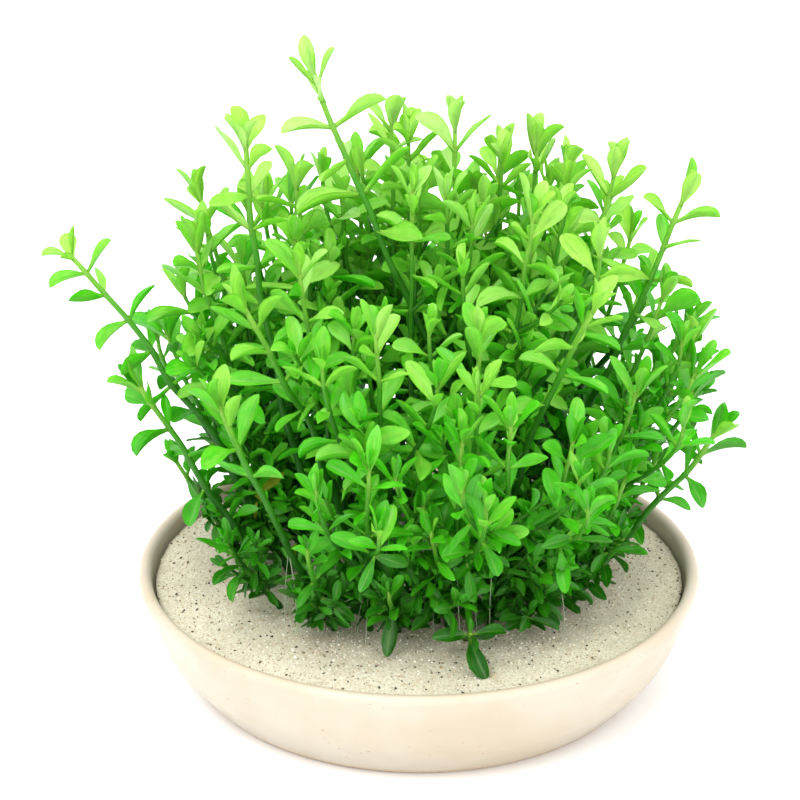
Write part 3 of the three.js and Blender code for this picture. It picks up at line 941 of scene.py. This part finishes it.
class Grower:
    """Grows shoots one after another, each leaf turned to where there is room."""

    def __init__(self, settings):
        self.settings = settings
        self.chance = random.Random(SEED)
        self.crowd = Crowd(40000)
        self.clear_view = Crowd(4000)
        self.keep_in = True

    def stem(self, skeleton, path, radius, tip_radius, node_places, tones, below=0.0):
        """A tube along a path, a little thicker at each leaf pair."""
        steps = max(5, int(path.length / (3.6 * MM)))
        distances = [path.length * i / steps for i in range(steps + 1)]
        for place in node_places:
            distances += [place - 0.9 * MM, place, place + 0.9 * MM]
        distances = sorted(d for d in distances if 0 <= d <= path.length)
        distances = [d for i, d in enumerate(distances) if i == 0 or d - distances[i - 1] > 0.2 * MM]
        places, radii, shades = [], [], []
        if below:
            start, _ = path.at(0)
            places.append(start - UP * below)
            radii.append(radius)
            shades.append(tones[0])
        for distance in distances:
            share = distance / path.length
            swell = max([0.0] + [1 - abs(distance - p) / (1.0 * MM) for p in node_places])
            places.append(path.at(distance)[0])
            radii.append((radius + (tip_radius - radius) * share) * (1 + 0.22 * max(0.0, swell)))
            # Painted shade and light: the colour runs from the first tone at the foot to the second at the
            # tip
            shades.append(tones[0] + (tones[1] - tones[0]) * share ** 2.6)
        end, direction = path.at(path.length)
        places.append(end + direction * tip_radius)
        radii.append(tip_radius * 0.3)
        shades.append(tones[1])
        skeleton.line(places, radii, shades, STEM)

    def leaf(self, skeleton, root, along, out, spread, length, tone, broad):
        """One leaf, in the first of several ways that has room, or else the freest of them."""
        side = along.cross(out)
        best = None
        for swing in LEAF_SWINGS:
            turned = out * math.cos(math.radians(swing)) + side * math.sin(math.radians(swing))
            toward = along * math.cos(spread) + turned * math.sin(spread)
            toward = (toward + UP * LEAF_LIFT).normalized()
            if self.keep_in:
                toward = (kept_in(root + toward * length) - root).normalized()
            if root.z + toward.z * length < self.floor_under(root + toward * length) + LEAF_CLEARANCE:
                low = self.floor_under(root + toward * length) + LEAF_CLEARANCE - root.z
                flat = Vector((toward.x, toward.y, 0)).normalized()
                rise = max(-0.9, min(0.9, low / length))
                toward = flat * math.sqrt(1 - rise * rise) + UP * rise
            samples = [root + toward * length * share for share in (0.45, 0.75, 1.0)]
            gap = min(self.crowd.gap(samples), 0.8 * self.clear_view.gap(samples))
            if best is None or gap > best[0]:
                blade = side * math.cos(math.radians(swing)) - out * math.sin(math.radians(swing))
                best = (gap, toward, samples, blade)
            if gap > ENOUGH_ROOM:
                break
        _, toward, samples, blade = best
        self.crowd.add(samples)
        upward = toward.cross(blade)
        roll = math.radians(self.chance.gauss(0, 22))
        upward = upward * math.cos(roll) + toward.cross(upward) * math.sin(roll)
        upward = (upward + UP * 0.15).normalized()
        width = length * self.settings.leaf_width * broad * self.chance.uniform(0.86, 1.16)
        # How deep inside the dome the leaf lies, less near the sand; the material lifts such leaves with
        # painted light
        heart = root + toward * 0.6 * length
        inner = max(0.0, min(1.0, 1.4 - 1.5 * depth_share(heart)))
        inner *= min(1.0, (heart.z - SAND_LEVEL) / (50 * MM))
        form = self.chance.randrange(len(LEAF_FORMS))
        if length < PLAIN_LENGTH or depth_share(root) < PLAIN_DEPTH:
            form += len(LEAF_FORMS)
        skeleton.point(
            root, kind=LEAF, tone=tone, inner=inner, is_leaf=True, form=form,
            toward=toward, upward=upward, size=(length, width, length),
        )

    def hanging_leaf(self, skeleton, path):
        """One old dark leaf that hangs from a low stem nearly to the sand."""
        root, _ = path.at(0.74 * path.length)
        toward = Vector((-0.1, -0.22, -1)).normalized()
        length = (root.z - SAND_LEVEL - 0.8 * MM) / -toward.z
        upward = toward.cross(Vector((-1, 0.12, 0))).normalized()
        skeleton.point(
            root, kind=LEAF, tone=0.03, inner=0.0, is_leaf=True, form=1,
            toward=toward, upward=upward, size=(length, 0.33 * length, length),
        )

    @staticmethod
    def floor_under(place):
        """The height that a leaf has to keep above: sand inside the pan and the rim round it."""
        reach = math.hypot(place.x, place.y)
        if reach < SAND_RADIUS - 3 * MM:
            return SAND_LEVEL
        return POT_HEIGHT + 0.8 * MM

    def pairs(
        self, skeleton, path, lean, spin, table, radius, low,
        scale=1.0, tone_shift=0.0, bare=False, tip_opening=0,
    ):
        """Leaf pairs down a path from its tip, each square to the next."""
        for k, (distance, length, spread) in enumerate(table):
            here = path.length - distance * MM
            if here < low:
                break
            if bare and distance > 30 and self.chance.random() < 0.35:
                continue
            place, along = path.at(here)
            first, second = pair_ways(along, lean, spin)
            way = first if k % 2 == 0 else second
            for sign in (1, -1):
                out = way * sign
                size = length * MM * scale * self.chance.uniform(0.78, 1.18)
                full = min(1.0, (place.z - SAND_LEVEL) / FULL_LEAF_HEIGHT)
                size *= LOW_LEAF_SCALE + (1 - LOW_LEAF_SCALE) * full
                opening = math.radians(spread + self.chance.uniform(-1, 1) * (5 + 0.17 * spread))
                opening += math.radians(tip_opening) * max(0.0, 1 - distance / 12)
                tone = self.tone(place + out * 0.5 * size, k) + tone_shift
                root = place + out * radius * 0.35
                broad = TIP_BREADTHS[k] if k < len(TIP_BREADTHS) else 1.0
                self.leaf(skeleton, root, along, out, opening, size, tone, broad)

    def tone(self, place, age):
        """How bright a leaf is: young ones are a little lighter and old ones a little darker, and on top of
        that painted light and shade, lighter higher up as if lit from above, lifted deep inside the dome as
        painted light, and painted shade on the outer leaves near the foot.
        """
        depth = min(1.1, depth_share(place))
        height = (place.z - SAND_LEVEL) / DOME.z
        if place.x < -30 * MM and place.y < 15 * MM and height < 0.28 and self.chance.random() < 0.03:
            return -0.6
        # Painted shade at the foot, and painted light that rises with height and lifts the leaves deep inside
        foot = max(0.0, 1 - height / 0.24)
        value = 0.97 * height + 0.42 * max(0.0, 0.85 - depth) - 0.01 * age + 0.08 - 0.30 * foot * depth
        return min(0.98, max(0.02, value + self.chance.gauss(0, 0.1 - 0.04 * foot)))

    def side_stem(self, skeleton, path, radius, form, tones, flat):
        """A side stem of one of the forms above, with its leaf pairs."""
        nodes = [path.length - d * MM for d, _, _ in form.nodes]
        self.stem(skeleton, path, radius * form.foot, radius * form.tip, nodes, tones)
        self.pairs(
            skeleton, path, flat, self.chance.uniform(0, math.pi), form.pairs, radius * form.collar, form.low,
            scale=self.chance.uniform(*form.scales), tone_shift=form.tone_shift,
        )

    def twigs(self, skeleton, path, lean, spin, radius, places):
        """Short leafy side shoots out of the axils of the lower pairs."""
        for k, (distance, way_sign) in enumerate(places):
            here = path.length - distance * MM
            if here < 9 * MM:
                continue
            place, along = path.at(here)
            if depth_share(place) > 0.7:
                continue
            first, second = pair_ways(along, lean, spin)
            out = (first if k % 2 == 0 else second) * way_sign
            length = self.chance.uniform(13, 27) * MM
            lift = self.chance.uniform(0.3, 0.75)
            heading = (out * 0.85 + along * 0.6 + UP * 0.25).normalized()
            end_way = (out * 0.55 + along * 0.6 + UP * lift).normalized()
            tip = place + heading * 0.45 * length + end_way * 0.55 * length
            for _ in range(6):
                if depth_share(tip) < 0.93:
                    break
                length *= 0.8
                tip = place + heading * 0.45 * length + end_way * 0.55 * length
            if length < 6 * MM or tip.z < SAND_LEVEL + 5 * MM:
                continue
            tip = kept_in(tip)
            if self.clear_view.gap([tip, place.lerp(tip, 0.5)]) < 4 * MM:
                continue
            twig = Path([place, place + heading * 0.5 * length, tip])
            self.crowd.add([twig.at(twig.length * s)[0] for s in (0.4, 0.8)])
            # Painted light and shade: a twig reaching the dome's surface is lighter, one deep inside darker
            tone = 0.9 * depth_share(tip) - 0.2
            flat = Vector((end_way.x, end_way.y, 0))
            flat = flat.normalized() if flat.length > 1e-3 else lean
            self.side_stem(skeleton, twig, radius, TWIG, (tone - 0.1, tone), flat)

    def branches(self, skeleton, path, radius, count):
        """Long branches that leave a stem low down and rise beside it to the dome's surface."""
        start_angle = self.chance.uniform(0, 2 * math.pi)
        for k in range(count):
            place, along = path.at(path.length * self.chance.uniform(0.3, 0.5))
            tip, _ = path.at(path.length)
            angle = start_angle + (k + self.chance.uniform(-0.2, 0.2)) * 2 * math.pi / count
            aside = Vector((math.cos(angle), math.sin(angle), 0))
            end = tip + aside * self.chance.uniform(13, 21) * MM - UP * self.chance.uniform(2, 16) * MM
            for _ in range(8):
                if depth_share(end) < 0.94:
                    break
                end = place.lerp(end, 0.93)
            end = kept_in(end)
            if (end - place).length < 22 * MM:
                continue
            if self.clear_view.gap([end, place.lerp(end, 0.7)]) < 8 * MM:
                continue
            reach = (end - place).length
            bend = place + (along * 0.55 + aside * 0.45) * 0.45 * reach
            branch = Path([place, bend, end - UP * 0.28 * reach, end])
            steps = int(branch.length / (4 * MM))
            self.crowd.add([branch.at(branch.length * i / steps)[0] for i in range(1, steps + 1)])
            flat = Vector((aside.x, aside.y, 0)).normalized()
            # Painted shade at the branch's foot inside the dome, and painted light at its tip on the surface
            self.side_stem(skeleton, branch, radius, BRANCH, (0.1, 0.75), flat)

    def basal_twigs(self, skeleton, path, radius, count):
        """Low sprigs round the foot of a stem, small leaved and painted dark as shade at the foot."""
        foot, _ = path.at(0)
        outward = math.atan2(foot.y, foot.x)
        for k in range(count):
            turn = -85 + 170 * (k + 0.5) / count + self.chance.uniform(-14, 14)
            angle = outward + math.radians(turn)
            width = abs(math.cos(angle))
            heading = Vector((math.cos(angle), math.sin(angle), self.chance.uniform(0.55, 1.6))).normalized()
            place, _ = path.at(self.chance.uniform(1.5, 9 + 13 * (k % 2)) * MM)
            length = self.chance.uniform(9, 19) * MM * (1 - 0.35 * width)
            end = kept_in(place + heading * length + UP * 0.15 * length)
            if self.clear_view.gap([end]) < 4 * MM:
                continue
            twig = Path([place, place + heading * 0.5 * length, end])
            self.crowd.add([twig.at(twig.length * s)[0] for s in (0.4, 0.8)])
            flat = Vector((heading.x, heading.y, 0)).normalized()
            # Dark stems, as painted shade at the foot of the clump
            self.side_stem(skeleton, twig, radius, BASAL_SPRIG, (0.02, 0.12), flat)

    def roots(self, skeleton, path, count):
        """Pale hair roots that hang from the lowest nodes to the sand."""
        for _ in range(count):
            here = self.chance.choice((8, 19, 30)) * MM + self.chance.uniform(-1, 1) * MM
            if here > 0.5 * path.length:
                continue
            place, _ = path.at(here)
            angle = self.chance.uniform(0, 2 * math.pi)
            drift = Vector((math.cos(angle), math.sin(angle) + 0.6, 0)) * self.chance.uniform(2, 8) * MM
            foot = Vector((place.x + drift.x, place.y + drift.y, SAND_LEVEL - 0.5 * MM))
            belly = place.lerp(foot, 0.5) + Vector((-drift.y, drift.x, 0)) * self.chance.uniform(-0.6, 0.6)
            belly += drift * 0.5
            line = Path([place, belly, foot])
            steps = 7
            spots = [line.at(line.length * i / steps)[0] for i in range(steps + 1)]
            thin = self.chance.uniform(0.07, 0.13) * MM
            skeleton.line(spots, [thin] * len(spots), [0.5] * len(spots), ROOT)


def shoot_rows():
    """Every shoot with its node's name, its row and the turn of its leaf pairs."""
    rows = []
    for zone, members in SHOOTS.items():
        for i, row in enumerate(members):
            rows.append((f"{zone}_{i + 1:02d}", row, len(rows) * GOLDEN_ANGLE))
    return rows


def grow_all(settings):
    """Skeletons of all shoots, grown together so that their leaves share out the room."""
    grower = Grower(settings)
    rows = shoot_rows()
    paths = {name: stem_path(row) for name, row, _ in rows}
    for name, path in paths.items():
        low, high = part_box(name)
        tip = path.at(path.length)[0]
        if not all(low[i] - MM < tip[i] < high[i] + MM for i in range(3)):
            raise RuntimeError(f"the stem of {name} isn't where its node stands")
        steps = int(path.length / (4 * MM))
        places = [path.at(path.length * i / steps)[0] for i in range(steps + 1)]
        grower.crowd.add(places)
        if name in BARE_SHOOTS:
            for place in places[len(places) // 4:-3]:
                grower.clear_view.add([place + TOWARDS_VIEWER * away * MM for away in (5, 10, 16, 23)])
    skeletons = {name: Skeleton() for name in paths}
    radius = settings.stem_radius
    leans = {}
    for name, row, spin in rows:
        path = paths[name]
        lean = Vector((row[2] - row[0], row[3] - row[1], 0)).normalized()
        leans[name] = lean
        nodes = [path.length - d * MM for d, _, _ in STEM_PAIRS[2:]]
        stout = radius * (1.08 if name in BARE_SHOOTS else 0.86)
        # Each main stem is painted dark at the sand, as painted shade, and light at its tip, partly painted
        # light
        grower.stem(skeletons[name], path, stout, stout * 0.62, nodes, (0.08, 0.9), below=2 * MM)
        short = path.length < SHORT_STEM
        table, scale = (TWIG_PAIRS, 1.12) if short else (STEM_PAIRS, 1.0)
        if name == STAR_SPRIG:
            table, scale, spin = STAR_PAIRS, 1.2, 0.1
        scale *= LEAF_SCALES.get(name, 1.0)
        grower.keep_in = name != STAR_SPRIG
        grower.pairs(
            skeletons[name], path, lean, spin, table, radius * 0.75, 5 * MM,
            scale=scale, bare=name in BARE_SHOOTS, tip_opening=OPEN_TIPS.get(name, 0),
        )
    grower.keep_in = True
    for name, row, spin in rows:
        if name not in BARE_SHOOTS:
            if paths[name].length > BRANCHED_STEM:
                grower.branches(skeletons[name], paths[name], radius, 3)
            grower.twigs(skeletons[name], paths[name], leans[name], spin, radius, TWIG_PLACES)
        if math.hypot(row[0], row[1]) > BARE_MIDDLE and name != STAR_SPRIG:
            grower.basal_twigs(skeletons[name], paths[name], radius, 8 if row[1] < 5 else 5)
        grower.roots(skeletons[name], paths[name], ROOT_COUNTS.get(name, 1))
    grower.hanging_leaf(skeletons[HANGING_SPRIG], paths[HANGING_SPRIG])
    return skeletons


class HYSSOP_OT_pot(bpy.types.Operator):
    """Make the plain glazed pan"""

    bl_idname = "hyssop.make_pot"
    bl_label = "Make the pan"

    def execute(self, context):
        settings = context.scene.hyssop_pot
        foot, wall = POT_FOOT_RADIUS, POT_WALL
        belly = RIM_RADIUS - BELLY_INSET
        belly_height = BELLY_SHARE * POT_HEIGHT
        rim = RIM_RADIUS - 0.5 * wall
        outside = []
        steps = 14
        for i in range(steps + 1):
            share = i / steps
            height = 1.2 * MM + (POT_HEIGHT - 3.2 * MM) * share
            if height < belly_height:
                radius = foot + 1 * MM + (belly - foot - 1 * MM) * (height / belly_height) ** 0.92
            else:
                above = POT_HEIGHT - 2 * MM - belly_height
                radius = belly + (RIM_RADIUS - belly) * (height - belly_height) / above
            radius += 0.12 * MM * math.sin(share * 26)
            outside.append((min(radius, RIM_RADIUS), height))
        profile = [(0, 0), (foot - 1 * MM, 0), (foot, 0.35 * MM)]
        profile += outside
        profile += arc((rim, POT_HEIGHT - 0.5 * wall), 0.5 * wall, 0, 180, 12)
        profile += [
            (RIM_RADIUS - wall, POT_HEIGHT - 4 * MM),
            (belly - wall, belly_height),
            (foot - wall + 1 * MM, POT_FLOOR),
            (0, POT_FLOOR),
        ]
        mesh = turned_mesh("pot", profile, settings.segments)
        mesh.materials.append(glaze_material(settings))
        finished("glazed_pan", mesh, "glazed_stoneware", "pot")
        return {"FINISHED"}


def sand_height(x, y):
    """Height of the sand's surface over a place, with soft hollows and a dip at the wall."""
    reach = math.hypot(x, y)
    edge = max(0.0, (reach - 0.82 * SAND_RADIUS) / (0.18 * SAND_RADIUS))
    broad = noise.noise(Vector((x * 48, y * 48, 3.1)))
    small = noise.noise(Vector((x * 210, y * 210, 7.7)))
    fine = noise.noise(Vector((x * 800, y * 800, 1.3)))
    swell = (0.75 * broad + 0.3 * small + 0.13 * fine) * MM
    return SAND_LEVEL - 0.7 * MM - 1.6 * MM * edge * edge + swell


def sand_tree():
    """Strews loose grains over the upper side of the bed."""
    tree, nodes = new_tree(
        "loose_sand",
        [
            ("Grain forms", "NodeSocketCollection", None),
            ("Density", "NodeSocketFloat", 500000.0),
            ("Grain size", "NodeSocketFloat", 0.0006),
            ("Seed", "NodeSocketInt", SEED),
            ("Sand", "NodeSocketMaterial", None),
        ],
    )
    source = nodes.add("NodeGroupInput")
    strewn = nodes.add(
        "GeometryNodeDistributePointsOnFaces",
        {"Mesh": source.outputs["Geometry"], "Selection": named(nodes, "upper", "BOOLEAN"),
         "Density": source.outputs["Density"], "Seed": source.outputs["Seed"]},
        distribute_method="RANDOM",
    )
    shade = nodes.add("FunctionNodeRandomValue", {"Seed": 11}, data_type="FLOAT")
    loose = strewn.outputs["Points"]
    for name, value in (("grain", shade.outputs[1]), ("loose", 1.0)):
        loose = nodes.add(
            "GeometryNodeStoreNamedAttribute", {"Geometry": loose, "Name": name, "Value": value},
            data_type="FLOAT", domain="POINT",
        ).outputs["Geometry"]
    turn = nodes.add(
        "FunctionNodeRandomValue", {"Max": (6.28, 6.28, 6.28), "Seed": 12}, data_type="FLOAT_VECTOR",
    )
    share = nodes.add("FunctionNodeRandomValue", {2: 0.0, 3: 1.0, "Seed": 13}, data_type="FLOAT")
    factor = maths(nodes, "MULTIPLY_ADD", maths(nodes, "POWER", share.outputs[1], 3.0), 1.5, 0.7)
    size = maths(nodes, "MULTIPLY", factor, source.outputs["Grain size"])
    forms = forms_in(nodes, source.outputs["Grain forms"])
    grains = nodes.add(
        "GeometryNodeInstanceOnPoints",
        {"Points": loose, "Instance": forms, "Pick Instance": True,
         "Rotation": turn.outputs[0], "Scale": size},
    )
    end_tree(nodes, grains.outputs["Instances"], source.outputs["Geometry"], source.outputs["Sand"])
    return tree


def grain_collection():
    """A few broken-edged grain forms of about eight faces."""
    chance = random.Random(SEED + 1)
    forms = bpy.data.collections.new("grain_forms")
    for i in range(5):
        stretch = (0.5, 0.5 * chance.uniform(0.7, 1.0), 0.5 * chance.uniform(0.6, 0.9))
        tips = [
            Vector((1, 0, 0)), Vector((-1, 0, 0)), Vector((0, 1, 0)),
            Vector((0, -1, 0)), Vector((0, 0, 1)), Vector((0, 0, -1)),
        ]
        verts = []
        for tip in tips:
            shake = Vector([chance.uniform(-0.25, 0.25) for _ in range(3)])
            verts.append([(tip[k] + shake[k]) * stretch[k] for k in range(3)])
        faces = [(0, 2, 4), (2, 1, 4), (1, 3, 4), (3, 0, 4), (2, 0, 5), (1, 2, 5), (3, 1, 5), (0, 3, 5)]
        mesh = bpy.data.meshes.new(f"grain_form_{i}")
        mesh.from_pydata(verts, [], faces)
        forms.objects.link(bpy.data.objects.new(f"grain_form_{i}", mesh))
    return forms


class HYSSOP_OT_sand(bpy.types.Operator):
    """Make the bed of sand with its loose grains"""

    bl_idname = "hyssop.make_sand"
    bl_label = "Make the sand"

    def execute(self, context):
        settings = context.scene.hyssop_sand
        rings, segments = 64, 150
        profile = [(0, SAND_LOW.z), (60 * MM, SAND_LOW.z), (70.6 * MM, BELLY_SHARE * POT_HEIGHT)]
        top = [(SAND_RADIUS * (1 - i / rings), SAND_LEVEL) for i in range(rings + 1)]
        mesh = turned_mesh("sand_bed", profile + top, segments)
        upper = []
        for vert in mesh.vertices:
            if vert.co.z > SAND_LEVEL - 0.01 * MM:
                vert.co.z = sand_height(vert.co.x, vert.co.y)
        for face in mesh.polygons:
            upper.append(face.center.z > SAND_LEVEL - 6 * MM and face.normal.z > 0.5)
        mesh.attributes.new("upper", "BOOLEAN", "FACE").data.foreach_set("value", upper)
        forms = grain_collection()
        inputs = {
            "Grain forms": forms, "Density": settings.grain_density, "Grain size": settings.grain_size,
            "Sand": sand_material(settings),
        }
        bed = made_real(mesh, "sand_bed", sand_tree(), inputs, ("grain", "loose"))
        remove_collection(forms)
        finished("pale_sand", bed, "sand", "sand_bed")
        return {"FINISHED"}


class HYSSOP_OT_shoots(bpy.types.Operator):
    """Grow all the leafy shoots"""

    bl_idname = "hyssop.grow_shoots"
    bl_label = "Grow the shoots"

    def execute(self, context):
        settings = context.scene.hyssop_plant
        forms = leaf_collection()
        tree = shoot_tree()
        inputs = {"Leaf forms": forms, "Stem sides": 8, "Foliage": foliage_material(settings)}
        keep = ("tone", "inner", "kind", "along", "across", "underside")
        for name, skeleton in grow_all(settings).items():
            mesh = made_real(skeleton.mesh(f"{name}_skeleton"), name, tree, inputs, keep)
            finished(f"leafy_{name}", mesh, "foliage", name)
        remove_collection(forms)
        return {"FINISHED"}


def soft_light(name, place, size, power):
    data = bpy.data.lights.new(name, "AREA")
    data.energy = power
    data.size = size
    lamp = bpy.data.objects.new(name, data)
    lamp.location = place
    lamp.rotation_mode = "QUATERNION"
    lamp.rotation_quaternion = (Vector(place) - Vector(LIGHT_TARGET)).to_track_quat("Z", "Y")
    bpy.context.scene.collection.objects.link(lamp)


class HYSSOP_OT_stage(bpy.types.Operator):
    """Set the floor, the light and the camera"""

    bl_idname = "hyssop.set_stage"
    bl_label = "Set the stage"

    def execute(self, context):
        settings = context.scene.hyssop_stage
        scene = context.scene
        material, nodes = new_material("studio_floor")
        shader = nodes.add(
            "ShaderNodeBsdfPrincipled", {"Base Color": (0.93, 0.93, 0.93, 1), "Roughness": 0.9},
        )
        to_surface(nodes, shader)
        half = FLOOR_HALF_WIDTH
        corners = [(-half, -half, 0), (half, -half, 0), (half, half, 0), (-half, half, 0)]
        mesh = bpy.data.meshes.new("floor")
        mesh.from_pydata(corners, [], [(0, 1, 2, 3)])
        mesh.materials.append(material)
        floor = bpy.data.objects.new("floor", mesh)
        scene.collection.objects.link(floor)

        world = bpy.data.worlds.new("studio")
        world.use_nodes = True
        background = world.node_tree.nodes["Background"]
        background.inputs["Color"].default_value = (1, 1, 1, 1)
        background.inputs["Strength"].default_value = SKY_STRENGTH
        scene.world = world
        for name, place, size, power in LIGHTS:
            soft_light(name, place, size, power)
        scene.view_settings.view_transform = "Standard"

        middle = Vector(PICTURE_MIDDLE)
        data = bpy.data.cameras.new("camera")
        data.lens = settings.lens
        half_angle = math.atan(0.5 * data.sensor_width / data.lens)
        away = 0.5 * settings.field / math.tan(half_angle)
        back = Vector((0, -math.cos(settings.elevation), math.sin(settings.elevation)))
        camera = bpy.data.objects.new("camera", data)
        camera.location = middle + back * away
        camera.rotation_mode = "QUATERNION"
        camera.rotation_quaternion = back.to_track_quat("Z", "Y")
        data.clip_start = 0.01
        scene.collection.objects.link(camera)
        scene.camera = camera
        return {"FINISHED"}


class HYSSOP_PT_panel(bpy.types.Panel):
    """Lists the pieces and their settings"""

    bl_label = "Water hyssop"
    bl_idname = "HYSSOP_PT_panel"
    bl_space_type = "VIEW_3D"
    bl_region_type = "UI"
    bl_category = "Hyssop"

    def draw(self, context):
        scene = context.scene
        groups = (
            (scene.hyssop_pot, "hyssop.make_pot"),
            (scene.hyssop_sand, "hyssop.make_sand"),
            (scene.hyssop_plant, "hyssop.grow_shoots"),
            (scene.hyssop_stage, "hyssop.set_stage"),
        )
        for settings, operator in groups:
            box = self.layout.box()
            for name in settings.__annotations__:
                box.prop(settings, name)
            box.operator(operator)


CLASSES = (
    PotSettings, SandSettings, PlantSettings, StageSettings,
    HYSSOP_OT_pot, HYSSOP_OT_sand, HYSSOP_OT_shoots, HYSSOP_OT_stage, HYSSOP_PT_panel,
)
GROUPS = {
    "hyssop_pot": PotSettings, "hyssop_sand": SandSettings,
    "hyssop_plant": PlantSettings, "hyssop_stage": StageSettings,
}


def register():
    for item in CLASSES:
        bpy.utils.register_class(item)
    for name, group in GROUPS.items():
        setattr(bpy.types.Scene, name, PointerProperty(type=group))


def unregister():
    for name in GROUPS:
        delattr(bpy.types.Scene, name)
    for item in reversed(CLASSES):
        bpy.utils.unregister_class(item)


def main():
    register()
    bpy.ops.hyssop.set_stage()
    bpy.ops.hyssop.make_pot()
    bpy.ops.hyssop.make_sand()
    bpy.ops.hyssop.grow_shoots()


if __name__ == "__main__":
    main()
